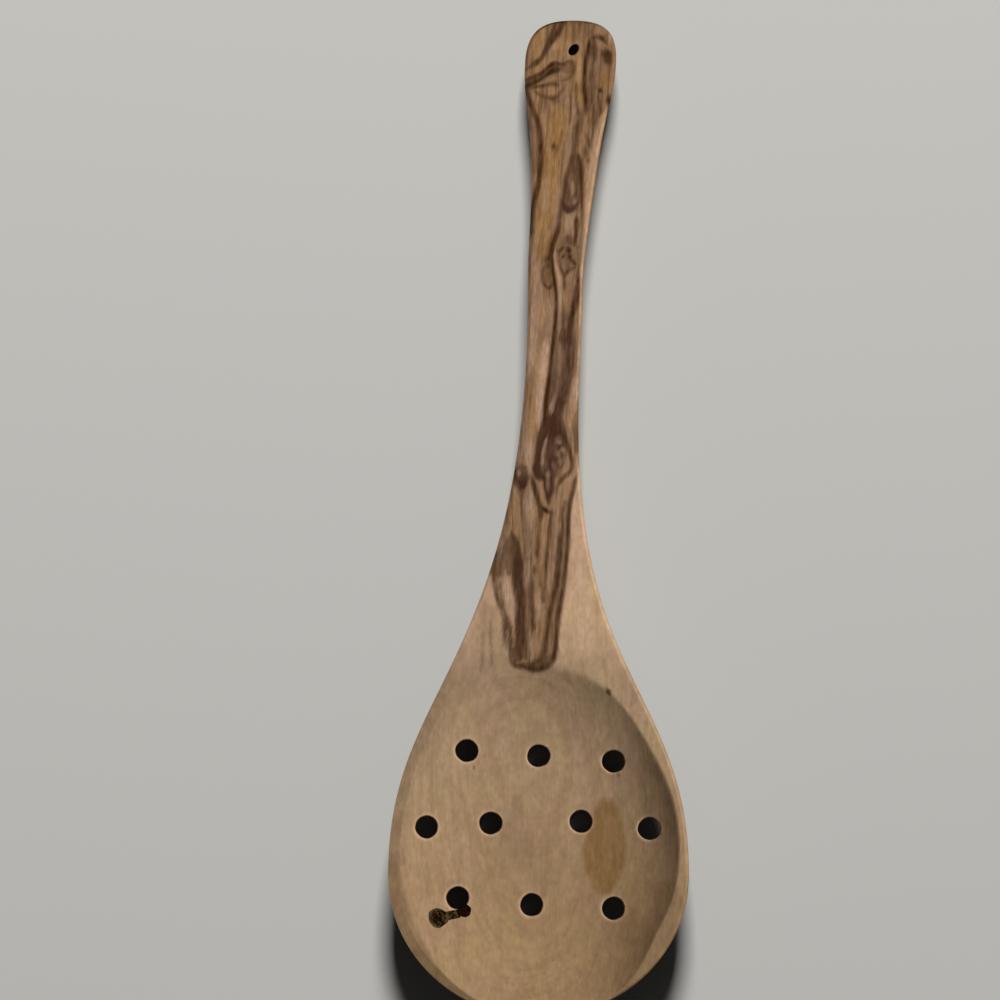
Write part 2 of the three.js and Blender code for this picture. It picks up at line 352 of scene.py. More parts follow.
# %% Sections of the handle
ROWS = 440
row_run = np.linspace(seam_run, run[-1], ROWS)[:, None]
row_y, row_half, row_along = (np.interp(row_run, run, line) for line in (*outline.T, facing))
row_y[0], row_half[0] = SEAM_AT, half_width(SEAM_AT)
row_x = centre_line(row_y) + row_half * across
face_z = front(row_x, row_y, row_half, row_along)
face_z[:, [0, -1]] = -EDGE
face_z[-1] = -EDGE
under = np.arange(0, COLUMNS, BACK_STEP)[-2:0:-1]
back_z = back(row_x, row_y, row_half)[:, under]
handle_points = stacked(np.hstack([row_x, row_x[:, under]]), row_y, np.hstack([face_z, back_z]))
handle = handle_points, grid_faces(ROWS, COLUMNS + len(under))

spoon = mesh_from("spoon_body", bowl_face, bowl_back, handle)
print(f"blank: {len(spoon.data.vertices)} points, {len(spoon.data.polygons)} faces")

# %% [markdown]
# ## Drain holes and hang hole
#
# The holes were drilled from the front and eased with sandpaper, so each cutter is a rod whose flared mouths
# follow the slope of the wood, and whose radius strays a little, as in a hole drilled by hand. They are cut
# with Boolean modifiers, because the holes cross the grid anywhere. The hang hole is worn oval by its peg.

# %% Cutter shapes
SIDES = 48
# A cutter's rings from the top: how much wider than the hole, and how far above the face or the back.
FACE_RINGS = [(0.85, 9), (0.85, 0.15), (0.25, -0.07), (0.07, -0.25), (0, -0.5), (0, -1.2), (0, -3)]
BACK_RINGS = [(0, 0.35), (0.6, -0.25), (0.6, -9)]
turn = np.linspace(0, -2 * np.pi, SIDES, endpoint=False)


def wander(seed, amount):
    """A radius that strays round the circle: 1 plus a few random waves of falling height."""
    waves = np.arange(2, 9)
    phase = np.random.default_rng(seed).uniform(0, 2 * np.pi, len(waves))
    return 1 + amount * (np.cos(waves * turn[:, None] + phase) / waves).sum(1)


def turned(centre, radii, height):
    """A closed turning: rings of the given radii about an upright axis, each at height(x, y)."""
    radii = np.broadcast_to(radii, (len(radii), SIDES))
    x = centre[0] + radii * np.cos(turn)
    y = centre[1] + radii * np.sin(turn)
    return stacked(x, y, height(x, y)), grid_faces(*radii.shape)


def drill(centre, radius):
    """A rod with both mouths flared: its rings, closed to a point at both ends."""
    wider, lift = np.array(FACE_RINGS + BACK_RINGS, float).T[:, :, None]
    radii = np.pad(wider + np.broadcast_to(radius, SIDES), ((1, 1), (0, 0)))
    lift = np.pad(lift, ((1, 1), (0, 0)), "edge")
    on_face = np.arange(len(lift))[:, None] <= len(FACE_RINGS)
    return turned(centre, radii, lambda x, y: np.where(on_face, front_at(x, y), back_at(x, y)) + lift)


print(f"a cutter has {len(FACE_RINGS + BACK_RINGS)} rings of {SIDES} points")

# %% Drill the holes
DRAIN_RADIUS, DRAIN_STRAY, DRAIN_SEED = 3.36, 0.025, 30
# Three rows of holes, from the neck to the tip.
DRAIN_AT = [
    (-21.65, 80.35), (-0.03, 78.75), (22.45, 77.1),
    (-33.75, 57.4), (-14.45, 58.5), (12.7, 59.0), (33.25, 56.85),
    (-24.4, 36.05), (-2.15, 33.9), (22.45, 32.85),
]
HANG_AT, HANG_HALF_AXES, HANG_LEAN = (10.45, 291.2), (1.25, 1.85), np.radians(-38)


def carve(piece, cutter):
    """Takes the cutter's volume out of the piece and keeps the result as the piece's own mesh."""
    cut = piece.modifiers.new("cut", "BOOLEAN")
    cut.object, cut.operation, cut.solver = cutter, "DIFFERENCE", "EXACT"
    shaped = bpy.data.meshes.new_from_object(piece.evaluated_get(bpy.context.evaluated_depsgraph_get()))
    piece.modifiers.clear()
    piece.data = shaped


a, b = HANG_HALF_AXES
hang_radius = a * b / np.hypot(b * np.cos(turn - HANG_LEAN), a * np.sin(turn - HANG_LEAN))
drills = [drill(place, DRAIN_RADIUS * wander(DRAIN_SEED + hole, DRAIN_STRAY))
          for hole, place in enumerate(DRAIN_AT)]
drains = mesh_from("drain_cutter", *drills)
hang = mesh_from("hang_cutter", drill(HANG_AT, hang_radius))
carve(spoon, drains)
carve(spoon, hang)
print(f"{len(DRAIN_AT)} drain holes and a hang hole: {len(spoon.data.polygons)} faces")

# %% [markdown]
# ## Knots and bark
#
# A branch that died while the tree grew on leaves a plug of dark wood, with its bark shut in round it. Here
# a whole round knot shows in the bowl, a seam of bark runs from it, and one drain hole was drilled through
# a second knot. Each is a turning about its own axis with a wandering radius, so a single grid gives the
# cap, the side and the foot. The bark's outline is the ring or the seam, whichever reaches further. The
# pockets for them are plain rods, cut through the blank with a hair of clearance.

# %% Knots and bark as plugs
ROUND_KNOT_AT, ROUND_KNOT_RADIUS = (-30.25, 30.05), 2.0
DRILLED_KNOT_AT, DRILLED_KNOT_RADIUS = (-22.3, 32.15), 1.95
BARK_RADIUS, SEAM_HALF, SEAM_REACH, SEAM_TURN = 2.85, 1.2, 6.1, np.radians(12)
KNOT_GAP, FOOT_LIFT = 0.08, 0.1
CAP_RINGS, FOOT_RINGS, CRUMB, SMALL_CRUMB = 12, 8, 0.55, 0.25


def plug(name, centre, inside, outside, sink, rough, seed):
    """A plug between two radii: a cap sunk below the face, a side, a foot on the back, and any bore."""
    rings = CAP_RINGS + FOOT_RINGS
    share = np.concatenate([np.linspace(0, 1, CAP_RINGS), np.linspace(1, 0, FOOT_RINGS)])[:, None]
    cap = np.arange(rings)[:, None] < CAP_RINGS

    def height(x, y):
        crumbs = hills(x / CRUMB + 40, y / CRUMB, seed)
        crumbs = crumbs + 0.5 * hills(x / SMALL_CRUMB + 40, y / SMALL_CRUMB, seed + 1)
        return np.where(cap, front_at(x, y) - sink - rough * crumbs, back_at(x, y) + FOOT_LIFT)

    points, _ = turned(centre, inside + (outside - inside) * share, height)
    return mesh_from(name, (points, grid_faces(rings, SIDES, loop_rows=True)))


from_seam = np.abs(np.angle(np.exp(1j * (turn - SEAM_TURN))))
seam_reach = np.where(from_seam < np.pi / 2, np.minimum(SEAM_REACH, SEAM_HALF / np.sin(from_seam + 1e-6)), 0)
round_edge = ROUND_KNOT_RADIUS * wander(seed=11, amount=0.10)
ring_edge = BARK_RADIUS * wander(seed=12, amount=0.09)
bark_edge = np.maximum(ring_edge, seam_reach * wander(seed=13, amount=0.16))
drilled_edge = DRILLED_KNOT_RADIUS * wander(seed=14, amount=0.08)

round_knot = plug("round_knot", ROUND_KNOT_AT, 0 * turn, round_edge, sink=0.12, rough=0.16, seed=15)
knot_bark = plug("knot_bark", ROUND_KNOT_AT, round_edge + KNOT_GAP, bark_edge, sink=0.10, rough=0.45, seed=17)
drilled_knot = plug("drilled_knot", DRILLED_KNOT_AT, 0 * turn, drilled_edge, sink=0.10, rough=0.25, seed=19)
print(f"the bark reaches {bark_edge.max():.1f} mm from the middle of its knot")

# %% Pockets for the plugs
POCKET_GAP, ROD_TOP, ROD_FOOT = 0.06, 9, -30


def rod(name, centre, radius):
    """A plain rod right through the spoon."""
    level = np.array([ROD_TOP, ROD_TOP, ROD_FOOT, ROD_FOOT])[:, None]
    reach = np.array([0, 1, 1, 0])[:, None]
    return mesh_from(name, turned(centre, reach * radius, lambda x, y: level + 0 * x))


bark_pocket = rod("bark_pocket", ROUND_KNOT_AT, bark_edge + POCKET_GAP)
knot_pocket = rod("knot_pocket", DRILLED_KNOT_AT, drilled_edge + POCKET_GAP)
for piece, cutters in {
    spoon: (bark_pocket, knot_pocket),
    knot_bark: (knot_pocket, drains),
    drilled_knot: (drains,),
}.items():
    for cutter in cutters:
        carve(piece, cutter)
for cutter in (drains, hang, bark_pocket, knot_pocket):
    bpy.data.objects.remove(cutter)
pieces = [spoon, round_knot, knot_bark, drilled_knot]
print("pieces:", {piece.name: len(piece.data.polygons) for piece in pieces})

# %% [markdown]
# ## The figure of the wood
#
# Olive wood has pale sapwood and a heartwood run through with dark lines, and this blank holds the border
# between them: the heartwood fills the handle and ends in a tongue above the bowl. A noise texture alone
# gives any olive wood, not this piece. So the main lines are drawn as a woodgrainer paints them: as strokes,
# each a width, a strength and a path, and as soft patches, each a softness in millimetres, a strength and a
# border. Widths and points were picked on the photograph, in its pixels, and are turned into
# millimetres on the front. Noise adds the fine fibre later.

# %% The heartwood's border
PIXEL_MM, AXIS_COLUMN, TIP_ROW = 0.30075, 538.5, 1018.0
HEARTWOOD = [(515, 5), (625, 5), (625, 60), (612, 120), (604, 150), (598, 190), (593, 230), (588, 270),
    (585, 310), (582, 350), (580.5, 380), (579.5, 405), (579, 440), (578.5, 462), (574.5, 490),
    (570, 526), (568, 565), (565, 591), (560.8, 622), (557, 648), (555, 659), (546, 668), (534, 672.5),
    (519, 668), (511, 662), (510.5, 646), (508, 630), (504, 612), (498, 604), (494, 585), (488, 571),
    (478, 562), (510, 440), (518, 300), (515, 100)]


def on_board(pixels):
    """Millimetres on the front: x from the bowl's axis column, y up from the row of the tip."""
    return (np.array(pixels, float) - (AXIS_COLUMN, TIP_ROW)) * (PIXEL_MM, -PIXEL_MM)


def counted(lines):
    """How many strokes of each colour a place has."""
    return {colour: len(rows) for colour, rows in lines.items()}


print("heartwood", np.ptp(on_board(HEARTWOOD), axis=0).round(), "mm across and along")

# %% [markdown]
# ## Strokes at the handle's end
#
# Dark lines sweep across the end and fold into a leaf below the hang hole, and a small knot darkens the right
# edge. They are drawn from the top down, as the rest is.

# %% Handle end
HANDLE_END_LINES = {
    "brown": [
        (6, 0.85, [(566, 16), (561, 29), (555, 38), (548, 48), (540, 57), (523, 70)]),
        (5, 0.7, [(557, 18), (553, 31), (548, 44), (541, 54)]),
        (9, 0.35, [(562, 18), (555, 34), (547, 47)]),
        (4, 0.4, [(586, 39), (590, 33), (597, 20)]),
        (7, 0.8, [(592, 34), (594, 47), (594, 58), (593, 68)]),
        (5, 0.8, [(597, 34), (602.5, 39), (609, 46)]),
        (4.6, 0.95, [(590, 36), (588.5, 50), (587, 62), (585.4, 75), (585, 90), (586.4, 104),
            (586, 116)]),
        (4, 0.7, [(589, 41), (594, 38), (600, 38.5), (606, 42)]),
        (9, 0.95, [(605, 47), (607, 53), (609.5, 62)]),
        (4.5, 0.65, [(560, 63), (568, 61), (574, 65), (573.5, 71), (567, 72)]),
        (4.5, 0.85, [(522, 80.5), (532, 76), (541, 72), (550, 67.5), (558, 64.5), (566, 64)]),
        (5, 0.9, [(521, 88), (532, 83), (541, 79), (550, 75), (557, 71), (562, 66.5)]),
        (3, 0.4, [(560, 81), (571, 76), (577, 69)]),
        (3.2, 0.65, [(577.5, 80), (577, 100), (578.8, 116)]),
        (4, 0.5, [(533, 89), (543, 96), (553, 99), (561, 92), (567, 83)]),
        (3.5, 0.6, [(525, 88), (545, 85.5), (560, 85)]),
        (3, 0.4, [(570, 86), (571, 105), (569, 127)]),
        (5.5, 0.9, [(597.5, 89), (603, 91)]),
        (3, 0.5, [(598, 92), (600, 112), (596, 130)]),
        (7, 0.97, [(608.5, 92), (609.5, 99), (609.5, 106)]),
        (9, 0.5, [(548, 96), (554, 100), (553, 106)]),
    ],
    "purple": [
        (5.5, 0.62, [(594, 62), (592.5, 76), (592, 88), (591.3, 99), (590, 108)]),
    ],
    "amber": [
        (12, 0.4, [(543, 30), (534, 48)]),
        (9, 0.45, [(566, 30), (560, 48), (551, 62)]),
        (7, 0.5, [(581, 56), (580.5, 80), (581, 110)]),
        (8, 0.6, [(604, 68), (603, 78), (601, 90)]),
    ],
    "pale": [
        (6, 0.2, [(562, 38), (553, 54)]),
        (4, 0.45, [(581, 57), (580, 84)]),
        (6, 0.3, [(538, 83), (548, 80.5), (560, 78)]),
    ],
}
HANDLE_END_PATCHES = {
    "brown": [
        (1.5, 0.24, [(562, 20), (600, 20), (614, 34), (598, 44), (566, 42)]),
        (0.7, 0.7, [(600, 49), (608, 48), (612, 55), (611, 63), (604, 62), (600, 56)]),
        (1.5, 0.24, [(594, 60), (618, 56), (616, 96), (604, 145), (588, 145)]),
        (0.7, 0.45, [(562, 61), (571, 61), (574, 67), (569, 73), (562, 71)]),
        (0.5, 0.62, [(521, 86), (526, 80), (540, 72), (552, 67), (561, 66.5), (563, 70), (556, 74),
            (545, 77), (535, 82), (526, 88)]),
        (1, 0.3, [(532, 85), (545, 77), (560, 74), (572, 76), (566, 86), (548, 88)]),
    ],
}
print("handle end:", counted(HANDLE_END_LINES))

# %% [markdown]
# ## Strokes down the upper handle
#
# A long dark line runs down the left side. To the right of it are a dark teardrop, an eye where a twig was
# overgrown, and a small ring beside the eye.

# %% Upper handle
UPPER_HANDLE_LINES = {
    "brown": [
        (5.5, 0.88, [(525, 84), (530, 100), (535.5, 115), (540, 130), (541.5, 150), (540.5, 170),
            (537.8, 188), (534.8, 204), (532, 220), (529, 242)]),
        (3, 0.5, [(593.7, 103), (593, 126), (591.5, 142)]),
        (4.4, 0.62, [(578, 116), (575, 140), (573, 155), (569, 170), (566, 182), (564, 195), (562, 208),
            (559, 222), (556, 235)]),
        (3, 0.4, [(562.7, 128), (560.4, 145), (556.6, 155)]),
        (4, 0.5, [(583, 131), (588, 140), (592, 151)]),
        (4.2, 0.92, [(555, 144), (554, 153)]),
        (4, 0.7, [(584.5, 144), (585.5, 160)]),
        (4.2, 0.85, [(576.5, 153), (579.8, 165), (581.2, 181), (582.2, 197), (583, 214), (583.3, 236),
            (582.5, 256)]),
        (5, 0.8, [(586, 157), (591, 162)]),
        (5, 0.75, [(563.5, 202), (567.5, 208.5), (573, 209.5), (578.5, 204)]),
        (4.2, 0.85, [(576.5, 216), (576.5, 230), (574.5, 245)]),
        (10, 0.3, [(558, 231), (549, 250), (548, 275), (552, 304)]),
        (11, 0.68, [(559, 246), (568, 240), (579, 246)]),
        (7, 0.97, [(565.5, 247), (568, 251), (568, 256)]),
        (4, 0.85, [(558.5, 265), (557.6, 255), (562, 249), (568, 248)]),
        (3.4, 0.7, [(556.5, 249), (557.5, 260), (561, 269), (564.3, 278), (565, 296)]),
        (12, 0.3, [(566, 250), (570, 262), (567, 274)]),
        (3, 0.6, [(545, 262), (549, 258), (551, 250)]),
        (4, 0.75, [(560, 262), (563, 258), (565, 254)]),
        (3, 0.6, [(566, 262), (570, 257), (574, 254)]),
        (7, 0.5, [(545.5, 254), (548.5, 267)]),
        (5, 0.9, [(569, 256), (573, 261), (578, 264)]),
        (4, 0.7, [(580.5, 262), (579, 276), (578, 286)]),
        (3.4, 0.6, [(577, 265), (569.5, 272), (565, 279)]),
        (3.2, 0.55, [(542.5, 273), (544, 283), (549, 286), (552.5, 280), (551.5, 270), (547, 266),
            (542.5, 273)]),
        (6, 0.3, [(546, 270), (547, 282)]),
        (7, 0.8, [(579.5, 276), (577.3, 294), (574.5, 306), (570.5, 324)]),
    ],
    "purple": [
        (6, 0.3, [(533, 120), (536, 150), (534.5, 176)]),
        (6, 0.6, [(568, 182), (568, 204)]),
        (7, 0.95, [(563.5, 201), (567, 207), (571, 209), (578.5, 203)]),
    ],
    "amber": [
        (8, 0.45, [(566, 100), (562, 125), (560, 150)]),
        (14, 0.48, [(556, 104), (553, 150), (549, 195), (545, 235), (543, 268)]),
        (10, 0.4, [(566, 286), (566, 320)]),
        (8, 0.35, [(541, 290), (542, 335)]),
    ],
    "pale": [
        (8, 0.6, [(606, 108), (599, 132), (593, 158), (590, 180), (588, 205), (586.3, 235),
            (584.5, 262)]),
        (8, 0.3, [(549, 172), (547, 195), (545, 215)]),
        (3.2, 0.5, [(572.8, 180), (572.5, 197)]),
        (4, 0.4, [(574, 198), (575, 206)]),
        (8, 0.35, [(570, 214), (567, 232)]),
        (4.5, 0.4, [(555, 250), (556.5, 266), (559, 285), (560, 312), (559, 335)]),
        (5, 0.15, [(534, 285), (533, 320)]),
    ],
}
UPPER_HANDLE_PATCHES = {
    "brown": [
        (0.8, 0.25, [(566, 183), (578, 183), (580, 200), (576, 207), (566, 206)]),
        (1.2, 0.3, [(557, 251), (564, 243), (579, 241), (582, 256), (577, 268), (567, 277), (560, 268)]),
        (1.5, 0.14, [(560, 284), (574, 284), (574, 322), (561, 322)]),
    ],
    "purple": [
        (0.8, 0.6, [(572, 157), (576, 153), (579, 166), (581, 182), (582, 198), (578, 212), (570, 213),
            (563, 208), (564.5, 190), (568, 172)]),
    ],
}
print("upper handle:", counted(UPPER_HANDLE_LINES))

# %% [markdown]
# ## Strokes round the large knot
#
# Purple heartwood gathers towards a large knot above the neck, which is mottled with paler wood, and a small
# knot sits on the left edge beside it.

# %% Large knot
LARGE_KNOT_LINES = {
    "brown": [
        (4.6, 0.97, [(560, 222), (556, 235), (551.8, 247), (551.3, 259), (553, 270), (555, 281),
            (556.4, 295), (555.4, 316), (553.4, 338), (551, 365), (548.5, 385), (546, 402), (543.5, 421),
            (540, 440), (536.8, 460), (536, 480)]),
        (5, 0.6, [(562.7, 300), (562.5, 325), (561.5, 345)]),
        (4, 0.7, [(573, 311), (570.5, 326), (569, 345)]),
        (4.5, 0.6, [(571, 318), (570.5, 335), (569, 352)]),
        (9, 0.8, [(548, 392), (545, 412), (542, 432), (538.5, 450), (536.8, 466), (538, 480)]),
        (4, 0.6, [(578.5, 396), (577.5, 416), (576.5, 434), (576, 455)]),
        (15, 0.85, [(558, 401), (554, 418), (550.5, 436), (547, 450)]),
        (4, 0.75, [(564, 424), (565.5, 440), (569.5, 454), (572, 464), (570, 472), (563, 478),
            (558.5, 486)]),
        (6, 0.7, [(552, 452), (551, 466), (549.5, 482)]),
    ],
    "purple": [
        (9, 0.65, [(568.5, 322), (567.5, 345), (567, 372), (565, 388), (560.5, 398), (556, 408)]),
        (16, 0.85, [(558, 402), (554.5, 420), (551, 440), (548, 456)]),
        (6, 0.6, [(563.5, 432), (564, 450), (562, 468)]),
        (9, 0.75, [(551, 446), (550, 462), (549, 480)]),
        (6, 0.7, [(537, 446), (535.8, 465), (540, 478), (547, 481)]),
        (14, 0.35, [(521.5, 458), (520.5, 500)]),
        (7, 0.85, [(525, 466), (525.5, 478), (522, 487), (517.5, 494)]),
        (5, 0.7, [(515.5, 470), (517.5, 481), (521, 490)]),
    ],
    "amber": [
        (8, 0.35, [(538, 345), (536.5, 372), (534, 405), (530, 440)]),
    ],
    "pale": [
        (4, 0.45, [(582.5, 262), (581.3, 300), (580.3, 345), (579.5, 378)]),
        (12, 0.2, [(540, 288), (539.5, 340), (536, 388)]),
        (5, 0.2, [(533, 290), (532, 330), (530.5, 370)]),
        (7, 0.8, [(546.5, 338), (545, 358), (542, 380), (539, 403), (537.5, 432)]),
        (3, 0.2, [(560, 343), (559.5, 378)]),
        (8, 0.45, [(577, 372), (575.5, 392), (573, 416)]),
        (4, 0.35, [(555, 392), (552, 416)]),
        (4, 0.2, [(553, 398), (550.5, 416)]),
        (8, 0.38, [(531, 436), (530, 455), (529, 476)]),
        (3, 0.5, [(547, 437), (542.8, 453), (542.5, 468)]),
        (7, 0.2, [(554, 446), (558, 441), (563, 446)]),
        (4.5, 0.24, [(556.5, 442), (562, 447)]),
        (4.5, 0.22, [(561.5, 448), (564, 455.5)]),
        (4.5, 0.24, [(556, 451), (560, 461)]),
        (5, 0.2, [(557, 454), (563, 452), (564, 460)]),
        (4, 0.1, [(544, 458), (549, 472)]),
        (4, 0.2, [(562, 458), (564.5, 465)]),
        (4, 0.3, [(559, 459), (561, 468)]),
        (4, 0.12, [(552, 460), (555, 473)]),
        (4, 0.16, [(552.5, 464), (556, 472)]),
        (3.5, 0.35, [(518.3, 469), (518.6, 478)]),
        (3.5, 0.25, [(549, 470), (548.5, 494)]),
        (3.2, 0.24, [(547, 472), (550, 481)]),
    ],
}
LARGE_KNOT_PATCHES = {
    "purple": [
        (1.3, 0.58, [(557, 318), (566, 312), (574, 318), (577, 345), (577, 375), (571, 392), (566, 405),
            (548, 405), (551, 370), (554, 345)]),
        (1, 0.88, [(559, 398), (566, 403), (563, 418), (564, 432), (566, 450), (563, 468), (557, 478),
            (551, 482), (544, 482), (536, 478), (535, 462), (539, 445), (544, 425), (549, 412)]),
        (0.8, 0.7, [(514, 470), (520, 464), (527, 467), (529, 479), (525, 489), (517, 491), (511, 484)]),
        (0.5, 0.9, [(545, 478), (556, 477), (555, 490), (551, 503), (548, 508), (545, 498),
            (543.5, 486)]),
    ],
}
print("large knot:", counted(LARGE_KNOT_LINES))

# %% [markdown]
# ## Strokes of the tongue, and marks in the bowl
#
# Below the knot the lines run side by side into the tongue, where the heartwood ends. The bowl has an amber
# patch, a few darker washes, three of them painted shade at its upper left and lower right, and three short
# marks that lie on the face alone.

# %% Tongue and bowl
TONGUE_LINES = {
    "brown": [
        (5, 0.8, [(578, 472), (574, 488), (570.8, 499), (568.8, 514), (567.8, 530), (567, 550),
            (565.8, 568), (563.5, 588), (560.8, 608), (557.5, 632), (555, 650), (551.5, 661)]),
        (6, 0.97, [(531, 474), (535, 488), (537.3, 500), (539.7, 512), (539.5, 528)]),
        (3.4, 0.6, [(566.5, 496), (563, 515), (562.2, 540), (561, 563), (559, 590)]),
        (3, 0.35, [(528, 497), (530, 530), (531, 563)]),
        (2.6, 0.35, [(521, 502), (523, 535), (526, 563)]),
        (5, 0.9, [(536, 505), (545, 511), (554, 515)]),
        (3.6, 0.75, [(553, 508), (549.5, 526), (548, 545), (546.8, 562), (545, 588), (543.5, 606)]),
        (3, 0.4, [(540, 525), (539, 560), (541, 588)]),
        (5, 0.75, [(560, 530), (558.6, 552), (557.3, 574), (554.4, 600), (549.5, 618), (546, 638),
            (542.6, 655), (535, 664)]),
        (5.5, 0.8, [(510.5, 532), (517, 546), (520.5, 562), (522, 574)]),
        (4, 0.55, [(537.5, 549), (537, 561)]),
        (5, 0.65, [(535.5, 563), (534.4, 576)]),
        (4.2, 0.66, [(493, 573), (496, 592), (501, 606), (503.6, 622), (504, 648)]),
        (3.2, 0.5, [(500, 580), (503, 600), (506, 614), (508, 632)]),
        (3, 0.35, [(490.6, 618), (490.8, 668)]),
        (3, 0.45, [(511.5, 620), (511, 640), (511, 660)]),
        (5, 0.55, [(555, 648), (551.5, 661), (546, 667), (534, 671), (520, 668), (512.5, 662), (511, 646),
            (512.5, 624)]),
        (3, 0.25, [(483.5, 630), (480.5, 674)]),
        (8, 0.35, [(515, 664.5), (525, 667), (534, 668.5), (543, 666), (550.5, 660)]),
    ],
    "purple": [
        (11, 0.7, [(513, 540), (516, 560), (518, 580), (520.3, 602), (521, 622), (520.8, 642),
            (520.8, 665)]),
        (6.5, 0.8, [(532, 572), (530, 592), (531.5, 608), (534, 618), (532.5, 640)]),
    ],
    "amber": [
        (14, 0.12, [(590, 530), (595, 600), (608, 660)]),
    ],
    "pale": [
        (10, 0.42, [(530, 488), (530, 508), (531, 532)]),
        (9, 0.9, [(504, 572), (507.5, 590), (511, 606), (513, 622)]),
        (5, 0.3, [(538.5, 588), (538, 608), (536, 628)]),
        (3, 0.28, [(513, 612), (514, 648)]),
        (7, 0.36, [(535, 632), (534, 658)]),
    ],
}
TONGUE_PATCHES = {
    "brown": [
        (1.6, 0.14, [(512, 492), (524, 494), (527, 530), (520, 545), (508, 528)]),
        (0.8, 0.5, [(511, 533), (517.5, 547), (520.2, 565), (522.9, 580), (517, 582), (510, 577),
            (497, 577), (487, 573), (490, 558), (503, 545)]),
        (0.8, 0.22, [(551, 592), (564, 588), (557, 650), (552, 660), (543, 656), (547, 622)]),
        (3, 0.2, [(482, 600), (500, 606), (506, 630), (507, 662), (480, 672), (470, 650)]),
        (0.8, 0.38, [(502, 612), (508, 612), (514, 620), (513.5, 650), (504, 648)]),
        (0.6, 0.45, [(517, 664), (526, 664.5), (534, 662), (543, 657), (550, 654), (549, 662), (543, 668),
            (534, 671), (524, 669)]),
    ],
    "purple": [
        (0.7, 0.62, [(514, 562), (520, 556), (525, 590), (527, 625), (528, 661), (515, 661), (514.5, 620),
            (512, 585)]),
    ],
}
BOWL_PATCHES = {
    "brown": [
        # Painted shade at the upper left of the bowl.
        (4, 0.14, [(462, 655), (480, 680), (450, 720), (430, 760), (400, 765), (395, 730), (440, 655)]),
        (7, 0.13, [(480, 815), (520, 812), (525, 868), (486, 870)]),
        # Painted shade at the lower right, in two washes that reach over the rim.
        (7, 0.1, [(600, 915), (655, 880), (695, 890), (690, 965), (640, 1010), (600, 985)]),
        (4, 0.16, [(655, 890), (695, 880), (695, 965), (640, 1010), (615, 1005), (645, 955)]),
    ],
    "amber": [
        (0.9, 0.7, [(605, 797), (608, 801.5), (612, 797), (618, 808), (623, 825), (626, 845), (624, 865),
            (619, 880), (611, 891), (601, 893), (592, 885), (585, 870), (583, 850), (586, 835),
            (592, 826), (593, 812), (599, 802)]),
    ],
}
BOWL_MARKS = [
    (4.5, 0.78, [(605.8, 686.5), (610.8, 696.5)]),
    (2.5, 0.7, [(473.4, 764.5), (474.2, 770)]),
    (2.5, 0.7, [(617.8, 771), (618.6, 777)]),
]
LINES = [HANDLE_END_LINES, UPPER_HANDLE_LINES, LARGE_KNOT_LINES, TONGUE_LINES]
PATCHES = [HANDLE_END_PATCHES, UPPER_HANDLE_PATCHES, LARGE_KNOT_PATCHES, TONGUE_PATCHES, BOWL_PATCHES]


def gathered(places, colour):
    """The rows of one colour from every place."""
    return [row for place in places for row in place.get(colour, [])]


print("tongue:", counted(TONGUE_LINES))

# %% [markdown]
# ## From strokes to amounts on the mesh
#
# Each colour becomes a number from 0 to 1 at every point of the mesh, an attribute that the material reads.
# Attributes were chosen over a painted image because they need no unwrapping and follow the carved surface.
# A stroke's amount falls off with the distance to its path, and a patch's with the distance to its border.
# Below the face the figure slants away and fades, as lines do that run through a blank to its back.

# %% Curves and distances
STRETCH_STEPS = 6


def curved(path):
    """Catmull-Rom curve through the points: each stretch leans on the points before and after it."""
    p = np.vstack([path[:1], path, path[-1:]])
    t = np.linspace(0, 1, STRETCH_STEPS, endpoint=False)[:, None, None]
    a, b, c, d = p[:-3], p[1:-2], p[2:-1], p[3:]
    bend = (2 * a - 5 * b + 4 * c - d) * t ** 2 + (3 * b - a - 3 * c + d) * t ** 3
    stretch = 0.5 * (2 * b + (c - a) * t + bend)
    return np.vstack([stretch.transpose(1, 0, 2).reshape(-1, 2), p[-1]])


def nearest(path, x, y):
    """Distance to a path of straight steps, and how far along it the nearest place is, from 0 to 1."""
    start, step = path[:-1], np.diff(path, axis=0)
    dx, dy = x[:, None] - start[:, 0], y[:, None] - start[:, 1]
    t = np.clip((dx * step[:, 0] + dy * step[:, 1]) / (step ** 2).sum(1), 0, 1)
    gap = np.hypot(dx - t * step[:, 0], dy - t * step[:, 1])
    best = gap.argmin(1)
    rows = np.arange(len(x))
    return gap[rows, best], (best + t[rows, best]) / len(start)


print("the heartwood's border as a curve has", len(curved(on_board(HEARTWOOD))), "points")

# %% Strokes and patches
# In half widths, a stroke is full out to its core, gone at its side, and has tips that are this long.
STROKE_CORE, STROKE_SIDE, TIP_LONG = 0.35, 1.7, 4
# A tip takes up this share of the stroke, least and most, and is this thin and this faint at its end.
TIP_SHARES, TIP_THIN, TIP_FAINT = (0.06, 0.5), 0.3, 0.4
TONGUE_MIDDLE = (535, 600)


def stroke_amount(rows, x, y):
    """Strokes laid over each other: full in the middle, soft at the sides, thin and faint at both ends."""
    bare = np.ones(len(x))
    for width, strength, path in rows:
        half, line = width * PIXEL_MM / 2, curved(on_board(path))
        low, high = line.min(0) - 2 * half, line.max(0) + 2 * half
        near = np.flatnonzero((x > low[0]) & (x < high[0]) & (y > low[1]) & (y < high[1]))
        gap, along = nearest(line, x[near], y[near])
        length = np.hypot(*np.diff(line, axis=0).T).sum()
        tip = ease(np.minimum(along, 1 - along), 0, np.clip(TIP_LONG * half / length, *TIP_SHARES))
        tip = np.maximum(tip, path[0] == path[-1])
        half = half * (TIP_THIN + (1 - TIP_THIN) * tip)
        strength = strength * (TIP_FAINT + (1 - TIP_FAINT) * tip)
        bare[near] *= 1 - strength * (1 - ease(gap, STROKE_CORE * half, STROKE_SIDE * half))
    return 1 - bare


